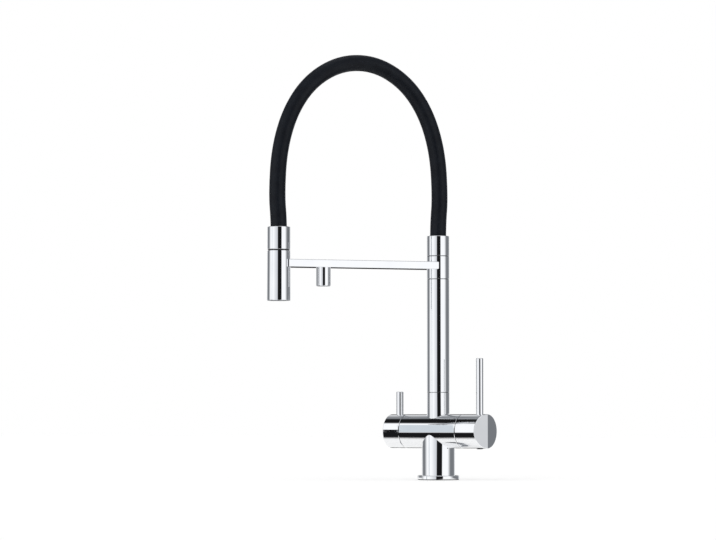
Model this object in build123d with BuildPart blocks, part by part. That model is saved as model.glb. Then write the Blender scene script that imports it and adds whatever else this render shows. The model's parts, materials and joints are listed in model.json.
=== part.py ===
from build123d import *
import os
from math import cos, radians, sin, tan

os.makedirs("parts", exist_ok=True)

# Filtered water kitchen tap. Millimetres, +Z up. The origin is the centre of the base on
# the worktop, +X runs along the barrel to the mixer handle, and -Y is the user's side.

# Fits: clearances, sealing rings, and the seams and slip rings between pieces that turn
running_clearance = 0.06
seat_clearance = 0.05
dock_clearance = 0.3
turn_seam = 0.5
slip_thickness = 0.8
slip_recess = 0.5
seal_section = 1.8
groove_width = 2.4
seal_land = 1.2
end_gap = 0.3

# Base on the worktop
flange_dia = 52
flange_height = 5.5
flange_round = 1.2
gasket_height = 0.9
gasket_setback = 0.5
spigot_dia = 36
boss_dia = 33.5
boss_height = 4
column_dia = 41

# Fixing under the worktop, and the three inlets round it
worktop_thickness = 38
port_ring_radius = 11.5
stud_dia = 8
stud_depth = 12
stud_tail = 14
clamp_dia = 60
clamp_opening = 38
clamp_web = 5
clamp_corner = 8
clamp_thickness = 3
pad_thickness = 3
nut_flats = 13
nut_height = 8
inlet_dia = 9
inlet_depth = 14
feed_dia = 7
filter_feed_dia = 5
hot_cold_bearing = 100

# Barrel, and the mixer cartridge in its right end
barrel_height = 60
barrel_left = 45.5
barrel_right = 36.8
barrel_wall = 3.45
barrel_edge = 0.4
cartridge_dia = 35
cartridge_length = 22
cartridge_base_height = 6
cartridge_wall = 2
cartridge_neck_dia = 24
cartridge_neck_proud = 2
cartridge_nut_length = 8
cartridge_nut_step = 1.5
nut_slot_width = 5
nut_slot_depth = 2.5
port_seal_rim = 1.4
port_seal_height = 1.5
stem_dia = 10
stem_flat = 1
mixed_port_rise = 9
mixed_way_dia = 7.6
mixed_way_offset = 2.2

# Ceramic discs of the mixer: three ports in the fixed one, and in the turning one a mixing
# chamber with a lobe that comes over the cold port and one that comes over the hot port
mixer_disc_height = 4.5
disc_port_dia = 6
chamber_dia = 15
chamber_depth = 1.8
lobe_radius = 10.5
lobe_width = 7
lobe_sweep = 35
cold_lobe_bearing = 105
hot_lobe_bearing = -95
tongue_width = 3
tongue_depth = 1.5
tongue_setback = 1

# Quarter-turn filter valve in the left end, with a pair of ceramic discs of its own
valve_dia = 24
valve_length = 21.3
valve_wall = 1.5
valve_disc_height = 4.5
valve_flange_dia = 30
valve_flange_height = 5
valve_washer_height = 1.2
valve_hex_flats = 22
valve_hex_height = 4
valve_spindle_dia = 8
filter_way_dia = 4
filter_in_drop = 6
filter_out_rise = 6

# Mixer handle, with a slanted facet on the front half of its end
handle_length = 35.2
facet_angle = 18
handle_round = 0.7
handle_wall = 3
mixer_cup_depth = 15.7
stem_socket_depth = 11
lever_dia = 9
lever_foot = 8
lever_round = 0.8
mixer_lever_station = 23.5
mixer_lever_reach = 89.8
grub_dia = 6
grub_length = 7
grub_key_flats = 3
grub_key_depth = 3
plug_dia = 7.6
plug_proud = 1

# Filter handle
knob_length = 23.5
filter_cup_depth = 5.5
spindle_socket_depth = 12
filter_lever_station = 11.4
filter_lever_reach = 49.3

# Riser
riser_dia = 28
stub_rise = 47.75
stub_fillet = 1.5
riser_length = 140.45
riser_wall = 2
riser_edge = 0.3
riser_washer_height = 0.6
riser_washer_recess = 0.4
socket_depth = 14
nipple_wall = 3
filter_tube_dia = 4
filter_tube_wall = 0.6
filter_tube_offset = 4.9
filter_tube_engagement = 7

# Swivel and arm
spindle_neck_dia = 19
spindle_mixed_dia = 9
spindle_mixed_offset = 2.5
filter_groove_width = 5
filter_groove_depth = 2
swivel_screw_dia = 3
swivel_screw_rise = 2.3
swivel_screw_recess = 0.3
swivel_key_flats = 1.5
swivel_key_depth = 2
swivel_groove_depth = 1
swivel_groove_play = 0.2
collar_length = 27.8
arm_bearing = 232.5
arm_rise = 17.1
arm_width = 27
arm_thickness = 9.4
arm_round = 1
arm_way_dia = 4.6
head_reach = 206
cradle_setback = 9.4
magnet_dia = 7
magnet_length = 5
magnet_recess = 0.8

# Filtered water nozzle under the arm
nozzle_reach = 149
nozzle_dia = 18
nozzle_length = 22.7
nozzle_round = 1.2
nozzle_spigot_dia = 10
nozzle_spigot_length = 4.6
nozzle_bore_dia = 13.2
nozzle_bore_depth = 10
aerator_height = 8
aerator_hole_dia = 1.5
aerator_hole_pitch = 2.3
aerator_holes = 5
aerator_hole_depth = 2.5

# Hose, and the ferrules that hold its two ends
hose_dia = 20
sleeve_wall = 2.8
core_wall = 2.4
core_gap = 0.2
hose_clearance = 0.15
ferrule_length = 24.75
ferrule_socket = 12
ferrule_web = 2
ferrule_round = 0.8
barb_length = 10
barb_wall = 1.2
bend_share = 0.45

# Half of the arch of the hose: reach out from the column's axis, and height above the riser
arch_points = [(0, 68.8), (-2.75, 101.8), (0.6, 158.8), (15.8, 207.8), (42.7, 244.8), (81.5, 266.7)]

# Spray head
head_drop = 45.8
head_dia = 28.4
head_mouth_dia = 29
head_shell_length = 60.85
head_ring_height = 1.7
head_ring_recess = 0.9
head_ferrule_length = 27.75
head_bore = 25.4
head_top_wall = 4
head_mouth_round = 0.8
head_spigot_dia = 18
head_spigot_length = 15.6
head_water_dia = 9
retainer_height = 2
retainer_width = 3
retainer_groove = 1
retainer_gap = 0.2
retainer_slot = 3
head_core_gap = 1.2
core_flange_height = 4
keeper_height = 14
keeper_thickness = 0.5
check_valve_dia = 12
check_valve_height = 14
face_recess = 1.5
face_height = 2.4
pad_height = 1.6
nub_dia = 2.2
nub_proud = 0.6
nub_count = 16
nub_ring_radius = 9.2
head_aerator_dia = 11

# Sizes that follow from the ones above
barrel_dia = cartridge_dia + 2 * (seat_clearance + barrel_wall)
barrel_radius = barrel_dia / 2
cartridge_bore = cartridge_dia + 2 * seat_clearance
cartridge_nut_dia = cartridge_dia + 2 * cartridge_nut_step
cartridge_nut_seat = barrel_right - cartridge_nut_length
cartridge_seat = cartridge_nut_seat - cartridge_length
cartridge_neck_end = barrel_right + cartridge_neck_proud
mixer_disc_seat = cartridge_seat + cartridge_base_height
mixer_disc_joint = mixer_disc_seat + mixer_disc_height
mixer_disc_back = mixer_disc_joint + mixer_disc_height
mixer_disc_bore = cartridge_dia - 2 * cartridge_wall
mixer_disc_dia = mixer_disc_bore - 2 * seat_clearance
port_seal_dia = feed_dia + 2 * port_seal_rim
stem_bore = stem_dia + 2 * running_clearance
valve_seat = valve_flange_height + valve_washer_height + valve_length - barrel_left
valve_disc_joint = valve_seat - valve_disc_height
valve_disc_back = valve_disc_joint - valve_disc_height
valve_disc_bore = valve_dia - 2 * valve_wall
valve_disc_dia = valve_disc_bore - 2 * seat_clearance
valve_seal_dia = filter_feed_dia + 2 * port_seal_rim
handle_start = barrel_right + turn_seam
handle_end = handle_start + handle_length
mixer_lever_place = handle_start + mixer_lever_station
mixer_cup_end = handle_start + mixer_cup_depth
knob_start = -barrel_left - turn_seam
knob_end = knob_start - knob_length
filter_lever_place = knob_start - filter_lever_station
filter_cup_end = knob_start - filter_cup_depth
lever_hole_dia = lever_dia + 2 * seat_clearance
grub_hole_dia = grub_dia + 2 * seat_clearance
plug_hole_dia = plug_dia + 2 * seat_clearance
stem_socket_end = mixer_cup_end + stem_socket_depth
spindle_socket_end = filter_cup_end - spindle_socket_depth
riser_bore = riser_dia - 2 * riser_wall
plug_fit_dia = riser_bore - 2 * seat_clearance
stub_top = barrel_height + stub_rise
riser_foot = stub_top + riser_washer_height
socket_floor = stub_top - socket_depth
riser_top = stub_top + riser_length
spindle_foot = riser_top - socket_depth
collar_bottom = riser_top + slip_thickness
collar_top = collar_bottom + collar_length
ferrule_bottom = collar_top + slip_thickness
ferrule_top = ferrule_bottom + ferrule_length
spindle_top = ferrule_top - ferrule_socket - ferrule_web - end_gap
swivel_screw_height = ferrule_bottom + swivel_screw_rise
swivel_groove_width = swivel_screw_dia + 2 * swivel_groove_play
swivel_groove_floor = spindle_neck_dia - 2 * swivel_groove_depth
collar_bore = spindle_neck_dia + 2 * running_clearance
slip_outer = riser_dia - 2 * slip_recess
slip_inner = spindle_neck_dia + 2 * seat_clearance
filter_tube_spot = (-filter_tube_offset, 0)
tube_foot = socket_floor - filter_tube_engagement
tube_seat_dia = filter_tube_dia + 2 * seat_clearance
mixed_way_spot = (mixed_way_offset, 0)
arm_height = riser_top + arm_rise
arm_bottom = arm_height - arm_thickness / 2
arm_tip = head_reach - cradle_setback
arm_x = cos(radians(arm_bearing))
arm_y = sin(radians(arm_bearing))
head_spot = (head_reach * arm_x, head_reach * arm_y)
nozzle_spot = (nozzle_reach * arm_x, nozzle_reach * arm_y)
nozzle_mouth = arm_bottom - nozzle_length
head_mouth = arm_height - head_drop
shell_top = head_mouth + head_shell_length
head_ferrule_bottom = shell_top + head_ring_height
head_ferrule_top = head_ferrule_bottom + head_ferrule_length
cradle_dia = head_mouth_dia + 2 * dock_clearance
hose_socket_dia = hose_dia + 2 * hose_clearance
core_outer = hose_dia - 2 * (sleeve_wall + core_gap)
core_inner = core_outer - 2 * core_wall
barb_dia = core_inner - 2 * seat_clearance
barb_bore = barb_dia - 2 * barb_wall
hose_start = ferrule_top - ferrule_socket
hose_finish = head_ferrule_top - ferrule_socket
spigot_foot = head_ferrule_bottom - head_spigot_length
spigot_floor = spigot_foot - end_gap
spigot_bore = head_spigot_dia + 2 * running_clearance
retainer_top = shell_top - head_top_wall - retainer_gap
face_bottom = head_mouth + face_recess
pad_bottom = face_bottom + face_height
core_foot = pad_bottom + pad_height
core_top = retainer_top - retainer_height - head_core_gap
inlet_top = inlet_depth - boss_height
nut_top = -(worktop_thickness + pad_thickness + clamp_thickness)
stud_foot = nut_top - nut_height - stud_tail


def on_ring(bearing):
    """A spot on the ring of inlets, at a bearing in degrees from +X."""
    return (port_ring_radius * cos(radians(bearing)), port_ring_radius * sin(radians(bearing)))


stud_spot = on_ring(0)
hot_spot = on_ring(hot_cold_bearing)
cold_spot = on_ring(-hot_cold_bearing)
filter_spot = on_ring(180)
inlet_spots = (hot_spot, cold_spot, filter_spot)
hot_port = (hot_spot[1], 0)
cold_port = (cold_spot[1], 0)
mixed_port = (0, mixed_port_rise)
cartridge_ports = (hot_port, cold_port, mixed_port)
filter_in_port = (0, -filter_in_drop)
filter_out_port = (0, filter_out_rise)
valve_ports = (filter_in_port, filter_out_port)


def level(height, spot=(0, 0)):
    """A level plane at a height above the worktop, centred on a spot of the plan."""
    return Plane(origin=(spot[0], spot[1], height))


def across(station):
    """A plane square to the barrel at a station along it, facing the mixer handle."""
    return Plane(origin=(station, 0, barrel_height), x_dir=(0, 1, 0), z_dir=(1, 0, 0))


def along_arm(reach):
    """A plane square to the arm at a reach from the riser, facing the spray head."""
    place = (reach * arm_x, reach * arm_y, arm_height)
    return Plane(origin=place, x_dir=(-arm_y, arm_x, 0), z_dir=(arm_x, arm_y, 0))


def behind(reach):
    """A plane at a reach behind the column's axis, level with the swivel's screw, facing the axis."""
    place = (-reach * arm_x, -reach * arm_y, swivel_screw_height)
    return Plane(origin=place, x_dir=(0, 0, 1), z_dir=(arm_x, arm_y, 0))


def turned(plane, length, outer, inner=0, spots=((0, 0),), mode=Mode.ADD):
    """One turned step on each spot: a disc, or a ring where it has a bore."""
    with BuildSketch(plane) as section:
        with Locations(*spots):
            Circle(outer / 2)
            if inner:
                Circle(inner / 2, mode=Mode.SUBTRACT)
    extrude(section.sketch, amount=length, mode=mode)


def bored(plane, length, dia, spots=((0, 0),)):
    """A round hole on each spot, from the plane along its normal."""
    turned(plane, length, dia, spots=spots, mode=Mode.SUBTRACT)


def seal_groove(middle, shaft_dia):
    """A groove for a sealing ring, round a shaft."""
    floor_dia = shaft_dia - 2 * seal_section
    start = middle.offset(-groove_width / 2)
    turned(start, groove_width, shaft_dia + seal_section, floor_dia, mode=Mode.SUBTRACT)


def seal_ring(middle, shaft_dia):
    """The sealing ring in such a groove."""
    with Locations(middle):
        Torus((shaft_dia - seal_section) / 2, seal_section / 2 - seat_clearance)


def rim(part, axis, end):
    """The widest round edge of a part at one end of an axis."""
    return part.edges().filter_by(GeomType.CIRCLE).group_by(axis)[end].sort_by(SortBy.RADIUS)[-1]


# Base flange and its gasket
with BuildPart() as base_flange:
    flange_bore = spigot_dia + 2 * seat_clearance
    turned(level(gasket_height), flange_height - gasket_height, flange_dia, flange_bore)
    fillet(rim(base_flange, Axis.Z, -1), flange_round)

with BuildPart() as base_gasket:
    turned(level(0), gasket_height, flange_dia - 2 * gasket_setback, flange_bore)

# Main body: base column, barrel and riser stub in one casting, bored for the valves
with BuildPart() as main_body:
    turned(level(barrel_height), stub_rise, riser_dia)
    turned(across(-barrel_left), barrel_left + barrel_right, barrel_dia)
    crotch_foot = barrel_height + riser_dia / 2
    crotch = main_body.edges().filter_by_position(Axis.Z, crotch_foot, stub_top - riser_edge)
    fillet(crotch.filter_by(GeomType.LINE, reverse=True), stub_fillet)
    turned(level(flange_height), barrel_height - flange_height, column_dia)
    chamfer(rim(main_body, Axis.X, -1), barrel_edge)
    chamfer(rim(main_body, Axis.X, 0), barrel_edge)
    chamfer(rim(main_body, Axis.Z, -1), riser_edge)
    turned(level(0), flange_height, spigot_dia)
    turned(level(-boss_height), boss_height, boss_dia)
    # Cavities for the cartridge, its nut and the filter valve, and the socket for the riser
    bored(across(cartridge_seat), barrel_right - cartridge_seat, cartridge_bore)
    bored(across(cartridge_nut_seat), cartridge_nut_length, cartridge_nut_dia + 2 * seat_clearance)
    bored(across(-barrel_left), valve_seat + barrel_left, valve_dia + 2 * seat_clearance)
    valve_mouth = valve_flange_height + valve_washer_height
    bored(across(-barrel_left), valve_mouth, valve_flange_dia + 2 * seat_clearance)
    bored(level(socket_floor), socket_depth, riser_bore)
    # Inlets and stud hole in the foot
    bored(level(-boss_height), inlet_depth, inlet_dia, inlet_spots)
    bored(level(-boss_height), boss_height + stud_depth, stud_dia + 2 * seat_clearance, [stud_spot])
    # Hot and cold feeds rise behind the cartridge and turn into its base
    bored(level(inlet_top), barrel_height - inlet_top, feed_dia, [hot_spot, cold_spot])
    bored(across(hot_spot[0]), cartridge_seat - hot_spot[0], feed_dia, [hot_port, cold_port])
    # Mixed water leaves the cartridge's base and rises to the riser
    mixed_floor = barrel_height + mixed_port_rise
    bored(across(mixed_way_offset), cartridge_seat - mixed_way_offset, feed_dia, [mixed_port])
    bored(level(mixed_floor), socket_floor - mixed_floor, mixed_way_dia, [mixed_way_spot])
    # Filtered water goes in and out through the base of its own valve
    filter_in_height = barrel_height - filter_in_drop
    filter_out_height = barrel_height + filter_out_rise
    bored(level(inlet_top), filter_in_height - inlet_top, filter_feed_dia, [filter_spot])
    bored(across(valve_seat), filter_spot[0] - valve_seat, filter_feed_dia, [filter_in_port])
    bored(across(valve_seat), -filter_tube_offset - valve_seat, filter_way_dia, [filter_out_port])
    bored(level(filter_out_height), socket_floor - filter_out_height, filter_way_dia, [filter_tube_spot])
    bored(level(tube_foot), filter_tube_engagement, tube_seat_dia, [filter_tube_spot])

# Fixing under the worktop: stud, rubber pad, horseshoe plate and nut
with BuildPart() as fixing_stud:
    turned(level(stud_foot), stud_depth - stud_foot, stud_dia, spots=[stud_spot])


def horseshoe(height, thickness):
    """A horseshoe plate round the stud, open on the side of the inlets."""
    with BuildSketch(level(height)) as outline:
        Circle(clamp_dia / 2)
        with Locations((clamp_web - clamp_dia / 2, 0)):
            RectangleRounded(clamp_dia, clamp_opening, clamp_corner, mode=Mode.SUBTRACT)
        with Locations(stud_spot):
            Circle(stud_dia / 2 + seat_clearance, mode=Mode.SUBTRACT)
    extrude(outline.sketch, amount=thickness)


with BuildPart() as clamp_pad:
    horseshoe(-worktop_thickness - pad_thickness, pad_thickness)

with BuildPart() as clamp_plate:
    horseshoe(nut_top, clamp_thickness)

with BuildPart() as fixing_nut:
    with BuildSketch(level(nut_top - nut_height, stud_spot)):
        RegularPolygon(nut_flats / 2, 6, major_radius=False)
        Circle(stud_dia / 2 + seat_clearance, mode=Mode.SUBTRACT)
    extrude(amount=nut_height)


def grub_screw(key_end, length, dia, key_flats, key_depth):
    """A grub screw along a plane's normal, with the hexagon socket for its key in the plane."""
    turned(key_end, length, dia)
    with BuildSketch(key_end) as key:
        RegularPolygon(key_flats / 2, 6, major_radius=False)
    extrude(key.sketch, amount=key_depth, mode=Mode.SUBTRACT)


def tongue(shaft_end, shaft_dia, clearance=0, mode=Mode.ADD):
    """The tongue on a shaft's end that turns a disc or, with a clearance, the slot for it."""
    with BuildSketch(shaft_end) as section:
        Rectangle(shaft_dia - 2 * tongue_setback + 2 * clearance, tongue_width + 2 * clearance)
    extrude(section.sketch, amount=tongue_depth + clearance, mode=mode)


# Mixer cartridge: base with the seals of its three ports, ceramic discs, housing, nut and stem
with BuildPart() as cartridge_base:
    turned(across(cartridge_seat), cartridge_base_height, cartridge_dia)
    bored(across(cartridge_seat), port_seal_height, port_seal_dia + 2 * seat_clearance, cartridge_ports)
    bored(across(cartridge_seat), cartridge_base_height, disc_port_dia, cartridge_ports)

with BuildPart() as cartridge_seals:
    turned(across(cartridge_seat), port_seal_height, port_seal_dia, feed_dia, cartridge_ports)

with BuildPart() as mixer_fixed_disc:
    turned(across(mixer_disc_seat), mixer_disc_height, mixer_disc_dia)
    bored(across(mixer_disc_seat), mixer_disc_height, disc_port_dia, cartridge_ports)

with BuildPart() as mixer_turning_disc:
    turned(across(mixer_disc_joint), mixer_disc_height, mixer_disc_dia)
    with BuildSketch(across(mixer_disc_joint)):
        Circle(chamber_dia / 2)
        for lobe_bearing in (cold_lobe_bearing, hot_lobe_bearing):
            with BuildLine(mode=Mode.PRIVATE):
                lobe_arc = CenterArc((0, 0), lobe_radius, lobe_bearing, lobe_sweep)
            SlotArc(lobe_arc, lobe_width)
    extrude(amount=chamber_depth, mode=Mode.SUBTRACT)
    tongue(-across(mixer_disc_back), stem_dia, seat_clearance, Mode.SUBTRACT)

with BuildPart() as mixer_cartridge:
    turned(across(mixer_disc_seat), cartridge_nut_seat - mixer_disc_seat, cartridge_dia)
    turned(across(cartridge_nut_seat), cartridge_neck_end - cartridge_nut_seat, cartridge_neck_dia)
    bored(across(mixer_disc_seat), mixer_disc_back - mixer_disc_seat, mixer_disc_bore)
    bored(across(mixer_disc_back), cartridge_neck_end - mixer_disc_back, stem_bore)

with BuildPart() as cartridge_nut:
    nut_bore = cartridge_neck_dia + 2 * seat_clearance
    turned(across(cartridge_nut_seat), cartridge_nut_length, cartridge_nut_dia, nut_bore)
    with BuildSketch(across(barrel_right)):
        Rectangle(cartridge_nut_dia, nut_slot_width)
        Rectangle(nut_slot_width, cartridge_nut_dia)
    extrude(amount=-nut_slot_depth, mode=Mode.SUBTRACT)

with BuildPart() as cartridge_stem:
    turned(across(mixer_disc_back), stem_socket_end - mixer_disc_back, stem_dia)
    tongue(-across(mixer_disc_back), stem_dia)
    flat_floor = barrel_height - stem_dia / 2
    with BuildSketch(level(flat_floor, (mixer_lever_place, 0))):
        Rectangle(2 * grub_dia, stem_dia)
    extrude(amount=stem_flat, mode=Mode.SUBTRACT)

# Mixer handle: a cup over the cartridge, with its end cut back to a facet on the front half
with BuildPart() as mixer_knob:
    turned(across(handle_start), handle_length, barrel_dia)
    chamfer(rim(mixer_knob, Axis.X, 0), barrel_edge)
    facet_run = barrel_dia * tan(radians(facet_angle))
    with BuildSketch(level(barrel_height - barrel_dia)):
        with BuildLine():
            Polyline(
                (handle_end, 0),
                (handle_end - facet_run, -barrel_dia),
                (handle_end, -barrel_dia),
                close=True,
            )
        make_face()
    extrude(amount=2 * barrel_dia, mode=Mode.SUBTRACT)
    flats = mixer_knob.faces().filter_by(GeomType.PLANE)
    end_faces = flats.filter_by_position(Axis.X, mixer_lever_place, handle_end)
    fillet(end_faces.edges(), handle_round)
    bored(across(handle_start), mixer_cup_depth, barrel_dia - 2 * handle_wall)
    bored(across(mixer_cup_end), stem_socket_depth, stem_dia + 2 * seat_clearance)
    mixer_side = (mixer_lever_place, 0)
    bored(level(barrel_height + lever_foot, mixer_side), barrel_radius, lever_hole_dia)
    bored(level(barrel_height, mixer_side), -barrel_radius, grub_hole_dia)
    plug_floor = stem_dia / 2 - stem_flat + grub_length
    bored(level(barrel_height - plug_floor, mixer_side), -barrel_radius, plug_hole_dia)

with BuildPart() as mixer_lever:
    turned(level(barrel_height + lever_foot, mixer_side), mixer_lever_reach - lever_foot, lever_dia)
    fillet(rim(mixer_lever, Axis.Z, -1), lever_round)

with BuildPart() as mixer_grub_screw:
    mixer_key_end = level(barrel_height - plug_floor, mixer_side)
    grub_screw(mixer_key_end, grub_length, grub_dia, grub_key_flats, grub_key_depth)

with BuildPart() as mixer_plug:
    plug_length = barrel_radius + plug_proud - plug_floor
    turned(level(barrel_height - plug_floor - plug_length, mixer_side), plug_length, plug_dia)
    fillet(rim(mixer_plug, Axis.Z, 0), plug_proud)

# Filter valve: body, washer, port seals, ceramic discs and spindle
with BuildPart() as filter_valve:
    turned(across(valve_seat - valve_length), valve_length, valve_dia)
    turned(across(-barrel_left), valve_flange_height, valve_flange_dia)
    turned(across(valve_seat - valve_length - valve_washer_height), valve_washer_height, valve_dia)
    with BuildSketch(across(-barrel_left)):
        RegularPolygon(valve_hex_flats / 2, 6, major_radius=False)
    extrude(amount=-valve_hex_height)
    valve_end = -barrel_left - valve_hex_height
    bored(across(valve_end), valve_disc_back - valve_end, valve_spindle_dia + 2 * running_clearance)
    bored(across(valve_disc_back), valve_seat - valve_disc_back, valve_disc_bore)

with BuildPart() as valve_washer:
    washer_start = valve_flange_height - barrel_left
    turned(across(washer_start), valve_washer_height, valve_flange_dia, valve_dia + 2 * seat_clearance)

with BuildPart() as valve_seals:
    turned(across(valve_seat), -port_seal_height, valve_seal_dia, filter_feed_dia, valve_ports)

with BuildPart() as valve_fixed_disc:
    turned(across(valve_disc_joint), valve_disc_height, valve_disc_dia)
    bored(across(valve_disc_joint), valve_disc_height, filter_way_dia, valve_ports)
    bored(across(valve_seat), -port_seal_height, valve_seal_dia + 2 * seat_clearance, valve_ports)

with BuildPart() as valve_turning_disc:
    turned(across(valve_disc_back), valve_disc_height, valve_disc_dia)
    with BuildSketch(across(valve_disc_joint)):
        with Locations(((filter_out_rise - filter_in_drop) / 2, 0)):
            SlotCenterToCenter(filter_out_rise + filter_in_drop, filter_way_dia)
    extrude(amount=-chamber_depth, mode=Mode.SUBTRACT)
    tongue(across(valve_disc_back), valve_spindle_dia, seat_clearance, Mode.SUBTRACT)

with BuildPart() as valve_spindle:
    turned(across(spindle_socket_end), valve_disc_back - spindle_socket_end, valve_spindle_dia)
    tongue(across(valve_disc_back), valve_spindle_dia)

# Filter handle
with BuildPart() as filter_knob:
    turned(across(knob_end), knob_length, barrel_dia)
    chamfer(rim(filter_knob, Axis.X, -1), barrel_edge)
    fillet(rim(filter_knob, Axis.X, 0), handle_round)
    bored(across(filter_cup_end), filter_cup_depth, barrel_dia - 2 * handle_wall)
    bored(across(spindle_socket_end), spindle_socket_depth, valve_spindle_dia + 2 * seat_clearance)
    filter_side = (filter_lever_place, 0)
    bored(level(barrel_height + lever_foot, filter_side), barrel_radius, lever_hole_dia)
    bored(level(barrel_height, filter_side), -barrel_radius, grub_hole_dia)

with BuildPart() as filter_lever:
    turned(level(barrel_height + lever_foot, filter_side), filter_lever_reach - lever_foot, lever_dia)
    fillet(rim(filter_lever, Axis.Z, -1), lever_round)

with BuildPart() as filter_grub_screw:
    filter_grub_top = barrel_height - valve_spindle_dia / 2 - seat_clearance
    filter_key_end = level(filter_grub_top - grub_length, filter_side)
    grub_screw(filter_key_end, grub_length, grub_dia, grub_key_flats, grub_key_depth)

# Riser, the nipple and washer that join it to the stub, and the filtered water tube inside it
with BuildPart() as riser_nipple:
    turned(level(socket_floor), 2 * socket_depth, plug_fit_dia, plug_fit_dia - 2 * nipple_wall)
    seal_groove(level(stub_top - socket_depth / 2), plug_fit_dia)
    seal_groove(level(stub_top + socket_depth / 2), plug_fit_dia)

with BuildPart() as nipple_seals:
    seal_ring(level(stub_top - socket_depth / 2), plug_fit_dia)
    seal_ring(level(stub_top + socket_depth / 2), plug_fit_dia)

with BuildPart() as riser_washer:
    turned(level(stub_top), riser_washer_height, riser_dia - 2 * riser_washer_recess, riser_bore)

with BuildPart() as riser_tube:
    turned(level(riser_foot), riser_top - riser_foot, riser_dia, riser_bore)
    chamfer(rim(riser_tube, Axis.Z, 0), riser_edge)
    chamfer(rim(riser_tube, Axis.Z, -1), riser_edge)

with BuildPart() as filter_tube:
    tube_length = spindle_foot + filter_tube_engagement - tube_foot
    tube_bore = filter_tube_dia - 2 * filter_tube_wall
    turned(level(tube_foot), tube_length, filter_tube_dia, tube_bore, [filter_tube_spot])

# Swivel spindle: a fixed post with a way for mixed water and one for filtered water
port_seal_spread = (filter_groove_width + groove_width) / 2 + groove_width
neck_seal_heights = (arm_height - port_seal_spread, arm_height + port_seal_spread)
top_seal_height = spindle_top - seal_land - groove_width / 2

with BuildPart() as swivel_spindle:
    turned(level(spindle_foot), socket_depth, plug_fit_dia)
    turned(level(riser_top), spindle_top - riser_top, spindle_neck_dia)
    seal_groove(level(riser_top - socket_depth / 2), plug_fit_dia)
    for seal_height in (*neck_seal_heights, top_seal_height):
        seal_groove(level(seal_height), spindle_neck_dia)
    filter_groove_floor = spindle_neck_dia - 2 * filter_groove_depth
    groove_start = level(arm_height - filter_groove_width / 2)
    turned(groove_start, filter_groove_width, 2 * spindle_neck_dia, filter_groove_floor, mode=Mode.SUBTRACT)
    screw_groove = level(swivel_screw_height - swivel_groove_width / 2)
    turned(screw_groove, swivel_groove_width, 2 * spindle_neck_dia, swivel_groove_floor, mode=Mode.SUBTRACT)
    bored(level(spindle_foot), spindle_top - spindle_foot, spindle_mixed_dia, [(spindle_mixed_offset, 0)])
    bored(level(spindle_foot), arm_height - spindle_foot, tube_seat_dia, [filter_tube_spot])
    cross_hole = Plane(origin=(-filter_tube_offset, 0, arm_height), z_dir=(-1, 0, 0))
    bored(cross_hole, spindle_neck_dia / 2 - filter_tube_offset, filter_way_dia)

with BuildPart() as spindle_seals:
    seal_ring(level(riser_top - socket_depth / 2), plug_fit_dia)
    for seal_height in (*neck_seal_heights, top_seal_height):
        seal_ring(level(seal_height), spindle_neck_dia)

with BuildPart() as lower_slip_ring:
    turned(level(riser_top), slip_thickness, slip_outer, slip_inner)

# Swivel collar and flat arm in one casting, with the cradle for the spray head at its tip
arm_plan = Plane(origin=(0, 0, arm_bottom), x_dir=(arm_x, arm_y, 0), z_dir=(0, 0, 1))
arm_axis = Axis(origin=(0, 0, arm_height), direction=(arm_x, arm_y, 0))

with BuildPart() as swivel_arm:
    with BuildSketch(arm_plan):
        with Locations((arm_tip / 2, 0)):
            Rectangle(arm_tip, arm_width)
    extrude(amount=arm_thickness)
    fillet(swivel_arm.edges().filter_by(arm_axis), arm_round)
    turned(level(collar_bottom), collar_length, riser_dia)
    chamfer(rim(swivel_arm, Axis.Z, 0), riser_edge)
    chamfer(rim(swivel_arm, Axis.Z, -1), riser_edge)
    bored(level(arm_bottom, head_spot), arm_thickness, cradle_dia)
    bored(level(collar_bottom), collar_length, collar_bore)
    # Way for filtered water, the nozzle's socket and the magnet's pocket
    bored(along_arm(0), nozzle_reach, arm_way_dia)
    nozzle_socket_dia = nozzle_spigot_dia + 2 * seat_clearance
    bored(level(arm_bottom, nozzle_spot), nozzle_spigot_length, nozzle_socket_dia)
    cradle_floor = head_reach - cradle_dia / 2
    magnet_start = cradle_floor - magnet_recess - magnet_length
    pocket_depth = magnet_length + magnet_recess + dock_clearance
    bored(along_arm(magnet_start), pocket_depth, magnet_dia + 2 * seat_clearance)

with BuildPart() as dock_magnet:
    turned(along_arm(magnet_start), magnet_length, magnet_dia)

with BuildPart() as upper_slip_ring:
    turned(level(collar_top), slip_thickness, slip_outer, slip_inner + 2 * running_clearance)

# Filtered water nozzle and its aerator
with BuildPart() as filter_nozzle:
    turned(level(nozzle_mouth, nozzle_spot), nozzle_length, nozzle_dia)
    fillet(rim(filter_nozzle, Axis.Z, 0), nozzle_round)
    turned(level(arm_bottom, nozzle_spot), nozzle_spigot_length, nozzle_spigot_dia)
    bored(level(nozzle_mouth, nozzle_spot), nozzle_bore_depth, nozzle_bore_dia)
    bored(level(nozzle_mouth, nozzle_spot), nozzle_length + nozzle_spigot_length, arm_way_dia)


def aerator(bottom, spot, dia, height):
    """A flow straightener: a disc with a lattice of holes in its lower face."""
    turned(level(bottom, spot), height, dia)
    with BuildSketch(level(bottom, spot)) as lattice:
        with HexLocations(aerator_hole_pitch / 2, aerator_holes, aerator_holes, major_radius=False):
            Circle(aerator_hole_dia / 2)
        Circle(dia / 2 - aerator_hole_dia / 2, mode=Mode.INTERSECT)
    extrude(lattice.sketch, amount=aerator_hole_depth, mode=Mode.SUBTRACT)


with BuildPart() as nozzle_aerator:
    aerator_bottom = nozzle_mouth + nozzle_bore_depth - aerator_height
    aerator(aerator_bottom, nozzle_spot, nozzle_bore_dia - 2 * seat_clearance, aerator_height)


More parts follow.
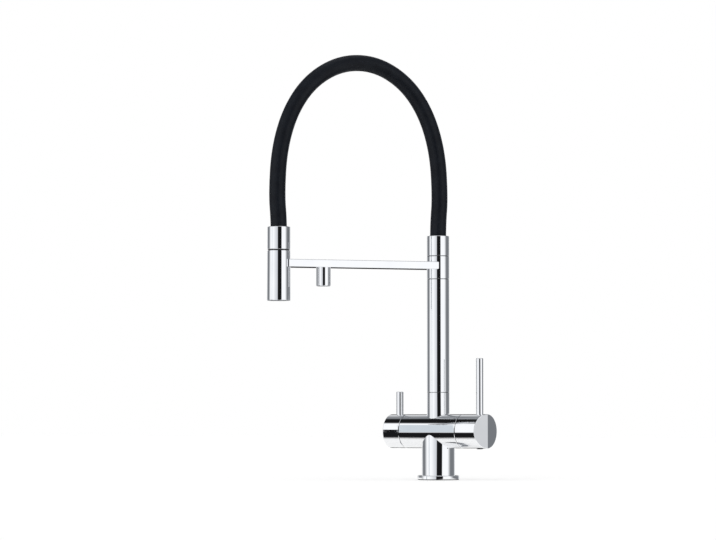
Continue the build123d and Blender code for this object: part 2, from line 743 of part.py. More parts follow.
def hose_ferrule(bottom, length, dia, spot):
    """A ferrule for one end of the hose: an outer socket, a web and a barb for the inner hose."""
    top = bottom + length
    turned(level(bottom, spot), length, dia)
    bored(level(top - ferrule_socket, spot), ferrule_socket, hose_socket_dia)
    turned(level(top - ferrule_socket, spot), barb_length, barb_dia)
    bored(level(top - ferrule_socket - ferrule_web, spot), ferrule_web + barb_length, barb_bore)


# Ferrule on the column: it turns on the top of the spindle with the arm, and a grub screw at
# the back, in a groove of the spindle, keeps it and the arm from lifting
with BuildPart() as column_ferrule:
    hose_ferrule(ferrule_bottom, ferrule_length, riser_dia, (0, 0))
    fillet(rim(column_ferrule, Axis.Z, -1), ferrule_round)
    chamfer(rim(column_ferrule, Axis.Z, 0), riser_edge)
    bored(level(ferrule_bottom), ferrule_length - ferrule_socket - ferrule_web, collar_bore)
    bored(behind(riser_dia / 2), riser_dia / 2, swivel_screw_dia + 2 * seat_clearance)

with BuildPart() as swivel_grub_screw:
    screw_key_reach = riser_dia / 2 - swivel_screw_recess
    screw_length = screw_key_reach - swivel_groove_floor / 2 - end_gap
    grub_screw(behind(screw_key_reach), screw_length, swivel_screw_dia, swivel_key_flats, swivel_key_depth)

# Hose: two legs and an arch in the upright plane of the arm, as reach along it and height
column_leg = [(reach, riser_top + height) for reach, height in arch_points]
head_leg = [(head_reach - reach, height) for reach, height in reversed(column_leg)]
hose_route = [(0, hose_start), *column_leg, *head_leg, (head_reach, hose_finish)]
route_points = [Vector(reach, height) for reach, height in hose_route]
route_runs = [end - start for start, end in zip(route_points, route_points[1:])]
hose_radii = []
for run_in, run_out in zip(route_runs, route_runs[1:]):
    half_turn = radians(run_in.get_angle(run_out) / 2)
    hose_radii.append(bend_share * min(run_in.length, run_out.length) / tan(half_turn))
print("hose bend radii", [round(radius) for radius in hose_radii])
arm_side = Plane(origin=(0, 0, 0), x_dir=(arm_x, arm_y, 0), z_dir=(arm_y, -arm_x, 0))

with BuildPart() as hose_sleeve:
    with BuildLine(arm_side) as sleeve_path:
        FilletPolyline(*hose_route, radius=hose_radii)
    with BuildSketch(level(hose_start)):
        Circle(hose_dia / 2)
        Circle(hose_dia / 2 - sleeve_wall, mode=Mode.SUBTRACT)
    sweep()

with BuildPart() as hose_core:
    with BuildLine(arm_side):
        FilletPolyline(*hose_route, radius=hose_radii)
    with BuildSketch(level(hose_start)):
        Circle(core_outer / 2)
        Circle(core_inner / 2, mode=Mode.SUBTRACT)
    sweep()

# Upper part of the spray head: ferrule, dark ring in the groove, retainer and seal
with BuildPart() as head_ferrule:
    hose_ferrule(head_ferrule_bottom, head_ferrule_length, head_dia, head_spot)
    fillet(rim(head_ferrule, Axis.Z, -1), ferrule_round)
    chamfer(rim(head_ferrule, Axis.Z, 0), riser_edge)
    turned(level(spigot_foot, head_spot), head_spigot_length, head_spigot_dia)
    retainer_floor = head_spigot_dia - 2 * retainer_groove
    retainer_start = level(retainer_top - retainer_height, head_spot)
    turned(retainer_start, retainer_height, 2 * head_spigot_dia, retainer_floor, mode=Mode.SUBTRACT)
    spigot_seal_height = (spigot_foot + core_top) / 2
    seal_groove(level(spigot_seal_height, head_spot), head_spigot_dia)
    bored(level(spigot_foot, head_spot), hose_finish - spigot_foot, barb_bore)

with BuildPart() as head_ring:
    ring_outer = head_dia - 2 * head_ring_recess
    turned(level(shell_top, head_spot), head_ring_height, ring_outer, head_spigot_dia + 2 * seat_clearance)

with BuildPart() as head_retainer:
    retainer_outer = retainer_floor + 2 * retainer_width
    turned(retainer_start, retainer_height, retainer_outer, retainer_floor + 2 * seat_clearance)
    with BuildSketch(retainer_start):
        with Locations((retainer_outer / 2, 0)):
            Rectangle(retainer_outer, retainer_slot)
    extrude(amount=retainer_height, mode=Mode.SUBTRACT)

with BuildPart() as head_seal:
    seal_ring(level(spigot_seal_height, head_spot), head_spigot_dia)

# Lower part of the spray head, which turns under the ferrule
with BuildPart() as head_shell:
    with Locations(level(head_mouth, head_spot)):
        Cone(
            head_mouth_dia / 2,
            head_dia / 2,
            head_shell_length,
            align=(Align.CENTER, Align.CENTER, Align.MIN),
        )
    fillet(rim(head_shell, Axis.Z, 0), head_mouth_round)
    chamfer(rim(head_shell, Axis.Z, -1), riser_edge)
    bored(level(head_mouth, head_spot), head_shell_length - head_top_wall, head_bore)
    bored(level(head_mouth, head_spot), head_shell_length, spigot_bore)

insert_dia = head_bore - 2 * seat_clearance
core_dia = insert_dia - 2 * (keeper_thickness + seat_clearance)
keeper_bottom = core_top - keeper_height

with BuildPart() as head_core:
    turned(level(core_foot, head_spot), core_flange_height, insert_dia)
    turned(level(core_foot, head_spot), core_top - core_foot, core_dia)
    bored(level(spigot_floor, head_spot), core_top - spigot_floor, spigot_bore)
    check_bottom = spigot_floor - check_valve_height
    bored(level(check_bottom, head_spot), check_valve_height, check_valve_dia + 2 * seat_clearance)
    bored(level(core_foot, head_spot), check_bottom - core_foot, head_water_dia)

with BuildPart() as head_check_valve:
    turned(level(check_bottom, head_spot), check_valve_height, check_valve_dia, check_valve_dia / 2)

with BuildPart() as head_keeper:
    turned(level(keeper_bottom, head_spot), keeper_height, insert_dia, insert_dia - 2 * keeper_thickness)

# Mouth of the head: the face, the soft pad whose nubs stand through it, and the aerator
aerator_seat_dia = head_aerator_dia + 2 * seat_clearance

with BuildPart() as spray_face:
    turned(level(face_bottom, head_spot), face_height, insert_dia, aerator_seat_dia)
    with BuildSketch(level(face_bottom, head_spot)):
        with PolarLocations(nub_ring_radius, nub_count):
            Circle(nub_dia / 2 + seat_clearance)
    extrude(amount=face_height, mode=Mode.SUBTRACT)

with BuildPart() as spray_pad:
    turned(level(pad_bottom, head_spot), pad_height, insert_dia, aerator_seat_dia)
    with BuildSketch(level(pad_bottom, head_spot)):
        with PolarLocations(nub_ring_radius, nub_count):
            Circle(nub_dia / 2)
    extrude(amount=-face_height - nub_proud)

with BuildPart() as head_aerator:
    aerator(face_bottom, head_spot, head_aerator_dia, face_height + pad_height)

pieces = {
    "base_flange": base_flange,
    "base_gasket": base_gasket,
    "main_body": main_body,
    "fixing_stud": fixing_stud,
    "clamp_pad": clamp_pad,
    "clamp_plate": clamp_plate,
    "fixing_nut": fixing_nut,
    "cartridge_base": cartridge_base,
    "cartridge_seals": cartridge_seals,
    "mixer_fixed_disc": mixer_fixed_disc,
    "mixer_turning_disc": mixer_turning_disc,
    "mixer_cartridge": mixer_cartridge,
    "cartridge_nut": cartridge_nut,
    "cartridge_stem": cartridge_stem,
    "mixer_knob": mixer_knob,
    "mixer_lever": mixer_lever,
    "mixer_grub_screw": mixer_grub_screw,
    "mixer_plug": mixer_plug,
    "filter_valve": filter_valve,
    "valve_washer": valve_washer,
    "valve_seals": valve_seals,
    "valve_fixed_disc": valve_fixed_disc,
    "valve_turning_disc": valve_turning_disc,
    "valve_spindle": valve_spindle,
    "filter_knob": filter_knob,
    "filter_lever": filter_lever,
    "filter_grub_screw": filter_grub_screw,
    "riser_nipple": riser_nipple,
    "nipple_seals": nipple_seals,
    "riser_washer": riser_washer,
    "riser_tube": riser_tube,
    "filter_tube": filter_tube,
    "swivel_spindle": swivel_spindle,
    "spindle_seals": spindle_seals,
    "lower_slip_ring": lower_slip_ring,
    "swivel_arm": swivel_arm,
    "dock_magnet": dock_magnet,
    "upper_slip_ring": upper_slip_ring,
    "filter_nozzle": filter_nozzle,
    "nozzle_aerator": nozzle_aerator,
    "column_ferrule": column_ferrule,
    "swivel_grub_screw": swivel_grub_screw,
    "hose_sleeve": hose_sleeve,
    "hose_core": hose_core,
    "head_ferrule": head_ferrule,
    "head_ring": head_ring,
    "head_retainer": head_retainer,
    "head_seal": head_seal,
    "head_shell": head_shell,
    "head_core": head_core,
    "head_check_valve": head_check_valve,
    "head_keeper": head_keeper,
    "spray_face": spray_face,
    "spray_pad": spray_pad,
    "head_aerator": head_aerator,
}
for name, piece in pieces.items():
    piece.part.label = name
    export_step(piece.part, f"parts/{name}.step")

hose_length = sum(edge.length for edge in sleeve_path.edges())
sleeve_section = hose_sleeve.part.volume / hose_length
print("hose length", round(hose_length, 1), "mm, mean section", round(sleeve_section, 2), "mm2")
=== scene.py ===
import json
import math

import bmesh
import bpy
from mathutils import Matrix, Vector


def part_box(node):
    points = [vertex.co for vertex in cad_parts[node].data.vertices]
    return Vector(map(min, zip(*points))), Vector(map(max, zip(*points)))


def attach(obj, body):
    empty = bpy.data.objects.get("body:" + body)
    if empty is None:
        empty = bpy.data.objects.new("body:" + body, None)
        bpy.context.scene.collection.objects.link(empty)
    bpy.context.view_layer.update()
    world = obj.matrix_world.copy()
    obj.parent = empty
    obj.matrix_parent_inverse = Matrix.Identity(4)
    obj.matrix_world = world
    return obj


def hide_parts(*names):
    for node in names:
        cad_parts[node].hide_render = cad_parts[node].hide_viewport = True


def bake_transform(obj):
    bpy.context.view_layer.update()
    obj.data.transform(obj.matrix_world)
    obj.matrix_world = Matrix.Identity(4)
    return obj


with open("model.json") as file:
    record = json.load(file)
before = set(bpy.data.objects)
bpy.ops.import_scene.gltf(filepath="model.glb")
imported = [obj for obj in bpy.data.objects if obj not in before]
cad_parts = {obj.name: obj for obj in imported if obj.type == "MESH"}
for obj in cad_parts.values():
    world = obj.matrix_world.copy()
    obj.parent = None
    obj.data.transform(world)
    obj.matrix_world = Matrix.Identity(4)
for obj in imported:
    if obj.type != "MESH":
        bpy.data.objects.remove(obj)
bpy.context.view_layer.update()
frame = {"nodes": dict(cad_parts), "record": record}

scene = bpy.context.scene
upright = Vector((0, 0, 1))

# Camera: low in front of the tap and to its right, with a long lens, tilted up a little
camera_azimuth = math.radians(34.896)
camera_distance = 3.5
camera_side = -0.0996
camera_height = 0.0726
camera_tilt = math.radians(3.068)
camera_lens = 141.71
camera_sensor = 36
camera_clip_end = 50

to_camera = Vector((math.sin(camera_azimuth), -math.cos(camera_azimuth), 0))
to_right = Vector((math.cos(camera_azimuth), math.sin(camera_azimuth), 0))
camera_data = bpy.data.cameras.new("camera")
camera_data.lens = camera_lens
camera_data.sensor_width = camera_sensor
camera_data.clip_end = camera_clip_end
camera = bpy.data.objects.new("camera", camera_data)
camera.location = to_camera * camera_distance + to_right * camera_side + upright * camera_height
camera_view = -to_camera * math.cos(camera_tilt) + upright * math.sin(camera_tilt)
camera.rotation_mode = "QUATERNION"
camera.rotation_quaternion = camera_view.to_track_quat("-Z", "Y")
scene.collection.objects.link(camera)
scene.camera = camera

# Hose: the route of the solids, as reach along the arm and height in metres
arm_bearing = math.radians(232.5)
arm_way = Vector((math.cos(arm_bearing), math.sin(arm_bearing), 0))
hose_radius = 0.010
hose_sides = 72
hose_steps = 28
hose_route = [
    (0, 0.29035),
    (0, 0.3170),
    (-0.00275, 0.3500),
    (0.0006, 0.4070),
    (0.0158, 0.4560),
    (0.0427, 0.4930),
    (0.0815, 0.5149),
    (0.1245, 0.5149),
    (0.1633, 0.4930),
    (0.1902, 0.4560),
    (0.2054, 0.4070),
    (0.20875, 0.3500),
    (0.2060, 0.3170),
    (0.2060, 0.2978),
]


def in_arm_plane(reach, height):
    """A point over the arm, at a reach from the column's axis and a height."""
    return arm_way * reach + upright * height


def smooth_line(route):
    """The points of the NURBS curve that has the route as its control points."""
    data = bpy.data.curves.new("hose_line", "CURVE")
    data.dimensions = "3D"
    spline = data.splines.new("NURBS")
    spline.points.add(len(route) - 1)
    for point, place in zip(spline.points, route):
        point.co = (*in_arm_plane(*place), 1)
    spline.order_u = 3
    spline.use_endpoint_u = True
    spline.resolution_u = hose_steps
    curve = bpy.data.objects.new("hose_line", data)
    scene.collection.objects.link(curve)
    bpy.context.view_layer.update()
    evaluated = curve.evaluated_get(bpy.context.evaluated_depsgraph_get())
    mesh = bpy.data.meshes.new_from_object(evaluated)
    points = [vertex.co.copy() for vertex in mesh.vertices]
    bpy.data.objects.remove(curve)
    bpy.data.meshes.remove(mesh)
    return points


def skin(name, rings, smooth, hollow=False):
    """A closed mesh over rings of points; the last ring joins the first if it is hollow."""
    builder = bmesh.new()
    loops = [[builder.verts.new(point) for point in ring] for ring in rings]
    sides = len(loops[0])
    after = loops[1:] + loops[:1] if hollow else loops[1:]
    for first, second in zip(loops, after):
        for side in range(sides):
            other = (side + 1) % sides
            face = builder.faces.new((first[side], first[other], second[other], second[side]))
            face.smooth = smooth
    if not hollow:
        builder.faces.new(reversed(loops[0]))
        builder.faces.new(loops[-1])
    bmesh.ops.recalc_face_normals(builder, faces=builder.faces)
    mesh = bpy.data.meshes.new(name)
    builder.to_mesh(mesh)
    builder.free()
    piece = bpy.data.objects.new(name, mesh)
    scene.collection.objects.link(piece)
    return piece


def circle(sides):
    """The turns of points evenly round a circle."""
    return [2 * math.pi * side / sides for side in range(sides)]


def tube_rings(points, radius, sides):
    """Rings of one radius square to a line of points in the upright plane of the arm."""
    across = arm_way.cross(upright)
    rings = []
    for index, point in enumerate(points):
        before = points[max(index - 1, 0)]
        after = points[min(index + 1, len(points) - 1)]
        inward = across.cross((after - before).normalized())
        rings.append([
            point + radius * (math.cos(turn) * across + math.sin(turn) * inward)
            for turn in circle(sides)
        ])
    return rings


hose_line = smooth_line(hose_route)
hose = skin("silicone_hose", tube_rings(hose_line, hose_radius, hose_sides), smooth=True)
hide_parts("hose_sleeve", "hose_core")
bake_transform(hose)

# Fixing stud: an M8 thread over its whole length, with a chamfer at each end
thread_pitch = 0.00125
thread_depth = 0.00072
thread_slope = 1.3
thread_crest = 0.15
thread_steps = 8
thread_sides = 40
thread_lead = 0.0009


def threaded(low, high):
    """Rings of a threaded rod that fills an upright box."""
    middle = (low + high) / 2
    radius = (high.x - low.x) / 2
    count = round((high.z - low.z) / thread_pitch * thread_steps)
    rings = []
    for step in range(count + 1):
        height = low.z + (high.z - low.z) * step / count
        to_end = min(height - low.z, high.z - height)
        widest = radius - max(0, thread_lead - to_end)
        ring = []
        for turn in circle(thread_sides):
            phase = (height / thread_pitch - turn / (2 * math.pi)) % 1
            flank = min(max(thread_slope * abs(2 * phase - 1) - thread_crest, 0), 1)
            reach = min(radius - thread_depth * flank, widest)
            x = middle.x + reach * math.cos(turn)
            y = middle.y + reach * math.sin(turn)
            ring.append(Vector((x, y, height)))
        rings.append(ring)
    return rings


stud_low, stud_high = (Vector(corner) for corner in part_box("fixing_stud"))
stud_radius = (stud_high.x - stud_low.x) / 2
stud = skin("threaded_stud", threaded(stud_low, stud_high), smooth=True)
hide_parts("fixing_stud")
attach(stud, "tap_body")

# Fixing nut: a hexagon with the corners turned back to a cone on both faces
nut_sides = 96
nut_chamfer = math.radians(30)
nut_face = 0.96


def hexagon_rings(low, high, bore):
    """Rings round the section of a hexagon nut that fills an upright box."""
    middle = (low + high) / 2
    flats = min(high.x - low.x, high.y - low.y) / 2
    first_corner = 0 if high.x - low.x > high.y - low.y else math.pi / 6
    sixth = math.pi / 3

    def ring(reach_at, height_at):
        points = []
        for turn in circle(nut_sides):
            reach = reach_at(turn)
            x = middle.x + reach * math.cos(turn)
            y = middle.y + reach * math.sin(turn)
            points.append(Vector((x, y, height_at(reach))))
        return points

    def hexagon(turn):
        return flats / math.cos((turn - first_corner) % sixth - sixth / 2)

    def cone(reach):
        return max(0, reach - nut_face * flats) * math.tan(nut_chamfer)

    return [
        ring(lambda turn: bore, lambda reach: low.z),
        ring(lambda turn: nut_face * flats, lambda reach: low.z),
        ring(hexagon, lambda reach: low.z + cone(reach)),
        ring(hexagon, lambda reach: high.z - cone(reach)),
        ring(lambda turn: nut_face * flats, lambda reach: high.z),
        ring(lambda turn: bore, lambda reach: high.z),
    ]


nut_low, nut_high = (Vector(corner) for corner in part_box("fixing_nut"))
nut_rings = hexagon_rings(nut_low, nut_high, stud_radius)
nut = skin("hexagon_nut", nut_rings, smooth=False, hollow=True)
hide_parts("fixing_nut")
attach(nut, "tap_body")

# Looks: one procedural material for each slot of the record
noise_low, noise_high = 0.3, 0.7
machined_smoother, machined_rougher = 0.08, 0.1
moulded_spread = 0.07


class Look:
    """A material under construction: one principled shader and the nodes that vary it."""

    def __init__(self, name, colour, roughness, metallic=0.0):
        self.material = bpy.data.materials.new(name)
        self.material.use_nodes = True
        self.nodes = self.material.node_tree.nodes
        self.links = self.material.node_tree.links
        self.shader = self.nodes["Principled BSDF"]
        self.shader.inputs["Base Color"].default_value = (*colour, 1)
        self.shader.inputs["Metallic"].default_value = metallic
        self.shader.inputs["Roughness"].default_value = roughness
        self.place = self.nodes.new("ShaderNodeTexCoord")

    def noise(self, scale, detail=3.0, stretch=(1, 1, 1)):
        """Noise in the object's own space, stretched along its axes."""
        mapping = self.nodes.new("ShaderNodeMapping")
        mapping.inputs["Scale"].default_value = stretch
        self.links.new(self.place.outputs["Object"], mapping.inputs["Vector"])
        noise = self.nodes.new("ShaderNodeTexNoise")
        noise.inputs["Scale"].default_value = scale
        noise.inputs["Detail"].default_value = detail
        self.links.new(mapping.outputs["Vector"], noise.inputs["Vector"])
        return noise.outputs["Fac"]

    def spread(self, source, low, high):
        """Noise, from its usual low to its usual high, as a number between two others."""
        spread = self.nodes.new("ShaderNodeMapRange")
        spread.inputs["From Min"].default_value = noise_low
        spread.inputs["From Max"].default_value = noise_high
        spread.inputs["To Min"].default_value = low
        spread.inputs["To Max"].default_value = high
        self.links.new(source, spread.inputs["Value"])
        return spread.outputs["Result"]

    def rough(self, source, low, high):
        """Roughness between two numbers."""
        self.links.new(self.spread(source, low, high), self.shader.inputs["Roughness"])

    def tint(self, source, low, high):
        """Base colour between two colours."""
        mix = self.nodes.new("ShaderNodeMix")
        mix.data_type = "RGBA"
        mix.inputs["A"].default_value = (*low, 1)
        mix.inputs["B"].default_value = (*high, 1)
        self.links.new(self.spread(source, 0, 1), mix.inputs["Factor"])
        self.links.new(mix.outputs["Result"], self.shader.inputs["Base Color"])

    def relief(self, source, strength, depth):
        """A bump of a depth in metres."""
        bump = self.nodes.new("ShaderNodeBump")
        bump.inputs["Strength"].default_value = strength
        bump.inputs["Distance"].default_value = depth
        self.links.new(source, bump.inputs["Height"])
        self.links.new(bump.outputs["Normal"], self.shader.inputs["Normal"])


def chrome(name, low, high):
    """Polished plate: nearly a mirror, with faint polishing haze and a hint of orange peel."""
    look = Look(name, high, roughness=0.04, metallic=1.0)
    look.tint(look.noise(scale=35, detail=2), low, high)
    look.rough(look.noise(scale=90, detail=4), low=0.01, high=0.03)
    look.relief(look.noise(scale=160, detail=2), strength=0.001, depth=0.0003)
    return look.material


def machined(name, low, high, roughness, stretch):
    """Turned or rolled metal, with tool marks along one direction."""
    look = Look(name, high, roughness, metallic=1.0)
    marks = look.noise(scale=600, detail=4, stretch=stretch)
    look.tint(look.noise(scale=120), low, high)
    look.rough(marks, low=roughness - machined_smoother, high=roughness + machined_rougher)
    look.relief(marks, strength=0.1, depth=0.0001)
    return look.material


def moulded(name, low, high, roughness, grain, gloss=0.5):
    """Moulded plastic, rubber or silicone with a fine grain."""
    look = Look(name, high, roughness)
    look.shader.inputs["Specular IOR Level"].default_value = gloss
    look.tint(look.noise(scale=80), low, high)
    mottle = look.noise(scale=300)
    look.rough(mottle, low=roughness - moulded_spread, high=roughness + moulded_spread)
    look.relief(look.noise(scale=grain), strength=0.12, depth=0.0001)
    return look.material


looks = {
    "chrome": chrome("chrome", (0.90, 0.91, 0.925), (0.94, 0.945, 0.955)),
    "brass": machined(
        "brass", (0.62, 0.44, 0.18), (0.76, 0.58, 0.30), roughness=0.3, stretch=(1, 1, 12)
    ),
    "steel": machined(
        "steel", (0.46, 0.46, 0.46), (0.62, 0.62, 0.61), roughness=0.38, stretch=(12, 1, 1)
    ),
    "magnet": machined(
        "magnet", (0.42, 0.42, 0.43), (0.52, 0.52, 0.54), roughness=0.3, stretch=(1, 1, 1)
    ),
    "hose_black": moulded(
        "hose_black",
        (0.002, 0.003, 0.006),
        (0.004, 0.006, 0.010),
        roughness=0.48,
        grain=2500,
        gloss=0.2,
    ),
    "hose_inner": moulded(
        "hose_inner", (0.22, 0.22, 0.23), (0.28, 0.28, 0.29), roughness=0.5, grain=900
    ),
    "seal_rubber": moulded(
        "seal_rubber", (0.018, 0.018, 0.018), (0.035, 0.035, 0.035), roughness=0.6, grain=900
    ),
    "dark_plastic": moulded(
        "dark_plastic", (0.02, 0.02, 0.022), (0.035, 0.035, 0.038), roughness=0.42, grain=1200
    ),
    "grey_plastic": moulded(
        "grey_plastic", (0.36, 0.37, 0.38), (0.45, 0.46, 0.47), roughness=0.4, grain=1200
    ),
    "grey_silicone": moulded(
        "grey_silicone", (0.24, 0.25, 0.26), (0.31, 0.32, 0.33), roughness=0.62, grain=1000
    ),
    "white_plastic": moulded(
        "white_plastic", (0.76, 0.76, 0.74), (0.85, 0.85, 0.83), roughness=0.42, grain=1000
    ),
    "ceramic": moulded(
        "ceramic", (0.82, 0.80, 0.76), (0.88, 0.86, 0.82), roughness=0.25, grain=2000
    ),
}


def wear(piece, material):
    """Gives a piece one material."""
    piece.data.materials.clear()
    piece.data.materials.append(material)


for part in frame["record"]["subparts"]:
    wear(frame["nodes"][part["node"]], looks[part["material_slot"]])
wear(hose, looks["hose_black"])
wear(stud, looks["steel"])
wear(nut, looks["brass"])


class Tree:
    """A node tree of the stage under construction, in which a share is a number from 0 to 1."""

    def __init__(self, owner):
        owner.use_nodes = True
        self.nodes = owner.node_tree.nodes
        self.links = owner.node_tree.links
        self.nodes.clear()

    def add(self, kind):
        return self.nodes.new(kind)

    def feed(self, socket, value):
        """Puts a plain number, a plain colour or another node's output into a socket."""
        if isinstance(value, bpy.types.NodeSocket):
            self.links.new(value, socket)
        elif isinstance(value, tuple):
            socket.default_value = (*value, 1)
        else:
            socket.default_value = value

    def number(self, operation, *values):
        """The result of one operation on numbers."""
        node = self.add("ShaderNodeMath")
        node.operation = operation
        for socket, value in zip(node.inputs, values):
            self.feed(socket, value)
        return node.outputs[0]

    def along(self, vector, way):
        """How far a vector goes along a way."""
        node = self.add("ShaderNodeVectorMath")
        node.operation = "DOT_PRODUCT"
        self.feed(node.inputs[0], vector)
        node.inputs[1].default_value = way
        return node.outputs["Value"]

    def ramp(self, value, middle, half):
        """Zero before the middle and one after it, smooth over a half width each side."""
        node = self.add("ShaderNodeMapRange")
        node.interpolation_type = "SMOOTHSTEP"
        self.feed(node.inputs["Value"], value)
        node.inputs["From Min"].default_value = middle - half
        node.inputs["From Max"].default_value = middle + half
        return node.outputs["Result"]

    def both(self, first, second):
        """The product of two shares."""
        return self.number("MULTIPLY", first, second)

    def either(self, first, second):
        """The larger of two shares."""
        return self.number("MAXIMUM", first, second)

    def rest(self, share):
        """What a share leaves of one."""
        return self.number("SUBTRACT", 1.0, share)

    def window(self, value, low, high, half):
        """One between two numbers and zero outside them."""
        return self.both(self.ramp(value, low, half), self.rest(self.ramp(value, high, half)))

    def mixed(self, share, first, second):
        """A colour between two."""
        node = self.add("ShaderNodeMix")
        node.data_type = "RGBA"
        for name, value in (("Factor", share), ("A", first), ("B", second)):
            self.feed(node.inputs[name], value)
        return node.outputs["Result"]

    def mixed_shader(self, share, first, second):
        """A shader between two."""
        node = self.add("ShaderNodeMixShader")
        self.feed(node.inputs["Fac"], share)
        self.links.new(first, node.inputs[1])
        self.links.new(second, node.inputs[2])
        return node.outputs["Shader"]

    def glow(self, colour):
        """A shader that shows a colour as it is."""
        node = self.add("ShaderNodeEmission")
        self.feed(node.inputs["Color"], colour)
        return node.outputs["Emission"]

    def clear(self):
        """A shader that lets everything through."""
        return self.add("ShaderNodeBsdfTransparent").outputs["BSDF"]

    def surface(self, shader):
        """Makes a shader the material's own."""
        output = self.add("ShaderNodeOutputMaterial")
        self.links.new(shader, output.inputs["Surface"])


def staged(name, points, faces, mirrored_only=False):
    """Adds a plain mesh to the stage, and returns the empty tree of its material."""
    mesh = bpy.data.meshes.new(name)
    mesh.from_pydata(points, [], faces)
    piece = bpy.data.objects.new(name, mesh)
    if mirrored_only:
        piece.visible_camera = False
        piece.visible_diffuse = False
        piece.visible_shadow = False
    scene.collection.objects.link(piece)
    material = bpy.data.materials.new(name)
    wear(piece, material)
    return Tree(material)


white = (1.0, 1.0, 1.0)

# Floor: pale, white to the eye, and it keeps a soft shadow; the metal sees it only under the tap
floor_drop = 0.0004
floor_half = 8.0
floor_glow = 0.62
floor_colour = (0.95, 0.95, 0.95)
floor_seen_ends, floor_seen_sides = (-0.17, 0.13), (-0.066, 0.066)
floor_seen_soft = 0.02

floor_corners = [
    (-floor_half, -floor_half, -floor_drop),
    (floor_half, -floor_half, -floor_drop),
    (floor_half, floor_half, -floor_drop),
    (-floor_half, floor_half, -floor_drop),
]
tree = staged("floor", floor_corners, [(0, 1, 2, 3)])
spot = tree.add("ShaderNodeTexCoord").outputs["Object"]
path = tree.add("ShaderNodeLightPath")
pale = tree.add("ShaderNodeBsdfDiffuse")
tree.feed(pale.inputs["Color"], floor_colour)
seen = tree.both(
    tree.window(tree.along(spot, (1, 0, 0)), *floor_seen_ends, floor_seen_soft),
    tree.window(tree.along(spot, (0, 1, 0)), *floor_seen_sides, floor_seen_soft),
)
far = tree.both(path.outputs["Is Glossy Ray"], tree.rest(seen))
shown = tree.either(path.outputs["Is Camera Ray"], path.outputs["Is Glossy Ray"])
near = tree.mixed_shader(tree.both(shown, floor_glow), pale.outputs["BSDF"], tree.glow(white))
tree.surface(tree.mixed_shader(far, near, tree.clear()))

# Studio: white to the eye. In the metal it has tall soft boxes in front and behind, which fade
# upwards, with a fall in tone near the camera and a dark gap at the back, grey sides and a
# bright top light. On the left, in the share of X that the barrel of the body mirrors to the
# camera, it has a dark flag high up and a dark strip low down
box_left_end, box_right_end, box_end_soft = math.radians(-98), math.radians(78), math.radians(16)
back_box, back_box_soft = math.radians(148), math.radians(20)
back_gap, back_gap_soft = math.radians(171), math.radians(4)
back_gap_top, back_gap_top_soft = math.radians(28), math.radians(10)
fall_start, fall_start_soft = math.radians(-35), math.radians(24)
fall_end, fall_end_soft = math.radians(8), math.radians(2.5)
fade_share = 0.85
fade_rise, fade_soft = math.radians(38), math.radians(14)
flag_rise, flag_soft = math.radians(43), math.radians(4)
strip_low, strip_high, strip_soft = math.radians(-62), math.radians(-7), math.radians(3)
screen_low, screen_high, screen_soft = -0.647, -0.497, 0.02
screen_front, screen_front_soft = -0.03, 0.06
top_light_rise, top_light_soft = math.radians(68), math.radians(4)
box_colour = (1.04, 1.05, 1.07)
fall_colour = (0.66, 0.68, 0.72)
dark_colour = (0.010, 0.010, 0.011)
side_colour = (0.195, 0.205, 0.22)
plain_light = (0.6, 0.6, 0.6)

world = bpy.data.worlds.new("studio")
scene.world = world
tree = Tree(world)
direction = tree.add("ShaderNodeTexCoord").outputs["Generated"]
turn = tree.number("ARCTAN2", tree.along(direction, to_right), tree.along(direction, to_camera))
away = tree.number("ABSOLUTE", turn)
rise = tree.number("ARCSINE", tree.along(direction, upright))
screen = tree.both(
    tree.window(tree.along(direction, (1, 0, 0)), screen_low, screen_high, screen_soft),
    tree.ramp(tree.along(direction, (0, -1, 0)), screen_front, screen_front_soft),
)
fade = tree.both(tree.ramp(rise, fade_rise, fade_soft), tree.rest(screen))
boxes = tree.either(
    tree.window(turn, box_left_end, box_right_end, box_end_soft),
    tree.ramp(away, back_box, back_box_soft),
)
boxes = tree.both(boxes, tree.rest(tree.both(fade_share, fade)))
fall = tree.both(
    tree.ramp(turn, fall_start, fall_start_soft),
    tree.rest(tree.ramp(turn, fall_end, fall_end_soft)),
)
gap = tree.both(
    tree.ramp(away, back_gap, back_gap_soft),
    tree.rest(tree.ramp(rise, back_gap_top, back_gap_top_soft)),
)
flag = tree.both(screen, tree.ramp(rise, flag_rise, flag_soft))
strip = tree.both(screen, tree.window(rise, strip_low, strip_high, strip_soft))
studio = tree.mixed(boxes, side_colour, tree.mixed(fall, box_colour, fall_colour))
studio = tree.mixed(tree.either(gap, tree.either(flag, strip)), studio, dark_colour)
studio = tree.mixed(tree.ramp(rise, top_light_rise, top_light_soft), studio, box_colour)
path = tree.add("ShaderNodeLightPath")
shown = tree.mixed(path.outputs["Is Glossy Ray"], plain_light, studio)
shown = tree.mixed(path.outputs["Is Camera Ray"], shown, white)
background = tree.add("ShaderNodeBackground")
tree.feed(background.inputs["Color"], shown)
output = tree.add("ShaderNodeOutputWorld")
tree.feed(output.inputs["Surface"], background.outputs["Background"])

# Board: dark, with soft edges, between the tap and the camera. Only the metal sees it, and its
# upright pieces mirror it as a stripe
board_distance = 2.0
board_left, board_right, board_soft = -0.50, 0.89, 0.09
board_foot, board_top, board_top_soft = -6.0, 1.4, 0.45

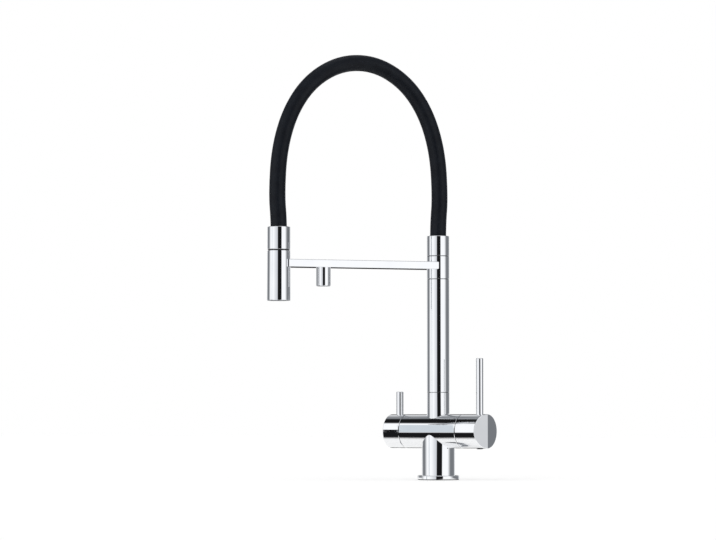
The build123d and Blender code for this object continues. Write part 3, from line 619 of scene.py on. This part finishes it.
board_corners = [
    to_camera * board_distance + to_right * side + upright * height
    for height in (board_foot, board_top + board_top_soft)
    for side in (board_left - board_soft, board_right + board_soft)
]
tree = staged("board", board_corners, [(0, 1, 3, 2)], mirrored_only=True)
spot = tree.add("ShaderNodeTexCoord").outputs["Object"]
covered = tree.both(
    tree.window(tree.along(spot, to_right), board_left, board_right, board_soft),
    tree.rest(tree.ramp(tree.along(spot, upright), board_top, board_top_soft)),
)
tree.surface(tree.mixed_shader(covered, tree.clear(), tree.glow(dark_colour)))

# Cards: far off on the left, each of the shape that a stretch of the body mirrors to the camera
# from end to end: a pale blue-grey one for the barrel and a low dark one for the filter knob
card_distance = 1.2
card_rows = 16
barrel_card_foot, barrel_card_top = -0.08, 1.17
barrel_card_colour = (0.65, 0.705, 0.755)
knob_card_foot, knob_card_top = -0.25, 0.277
barrel_height = 0.060
body_low, body_high = (Vector(corner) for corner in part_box("main_body"))
knob_low, knob_high = (Vector(corner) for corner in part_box("filter_knob"))
barrel_radius = body_high.y
camera_reach = -camera.location.y - barrel_radius


def card(name, colour, left, right, foot, top):
    """A panel that only the metal sees, mirrored between two stations along the barrel."""
    points = []
    for row in range(card_rows + 1):
        height = foot + (top - foot) * row / card_rows
        reach = math.hypot(card_distance - barrel_radius, height - barrel_height) / camera_reach
        for end in (left, right):
            points.append((end + (end - camera.location.x) * reach, -card_distance, height))
    faces = [(2 * row, 2 * row + 1, 2 * row + 3, 2 * row + 2) for row in range(card_rows)]
    tree = staged(name, points, faces, mirrored_only=True)
    tree.surface(tree.glow(colour))


card("barrel_card", barrel_card_colour, body_low.x, body_high.x, barrel_card_foot, barrel_card_top)
card("knob_card", dark_colour, knob_low.x, knob_high.x, knob_card_foot, knob_card_top)

# Lamps: two broad suns, so the floor is lit evenly out to its edge
for name, strength, spread, azimuth, height in (
    ("key", 1.3, 50, -40, 52),
    ("fill", 0.7, 70, 70, 45),
):
    lamp_data = bpy.data.lights.new(name, "SUN")
    lamp_data.energy = strength
    lamp_data.angle = math.radians(spread)
    lamp = bpy.data.objects.new(name, lamp_data)
    side = math.radians(azimuth)
    lift = math.radians(height)
    level = to_camera * math.cos(side) + to_right * math.sin(side)
    source = level * math.cos(lift) + upright * math.sin(lift)
    lamp.rotation_mode = "QUATERNION"
    lamp.rotation_quaternion = (-source).to_track_quat("-Z", "Y")
    lamp.visible_glossy = False
    scene.collection.objects.link(lamp)

scene.view_settings.view_transform = "Standard"
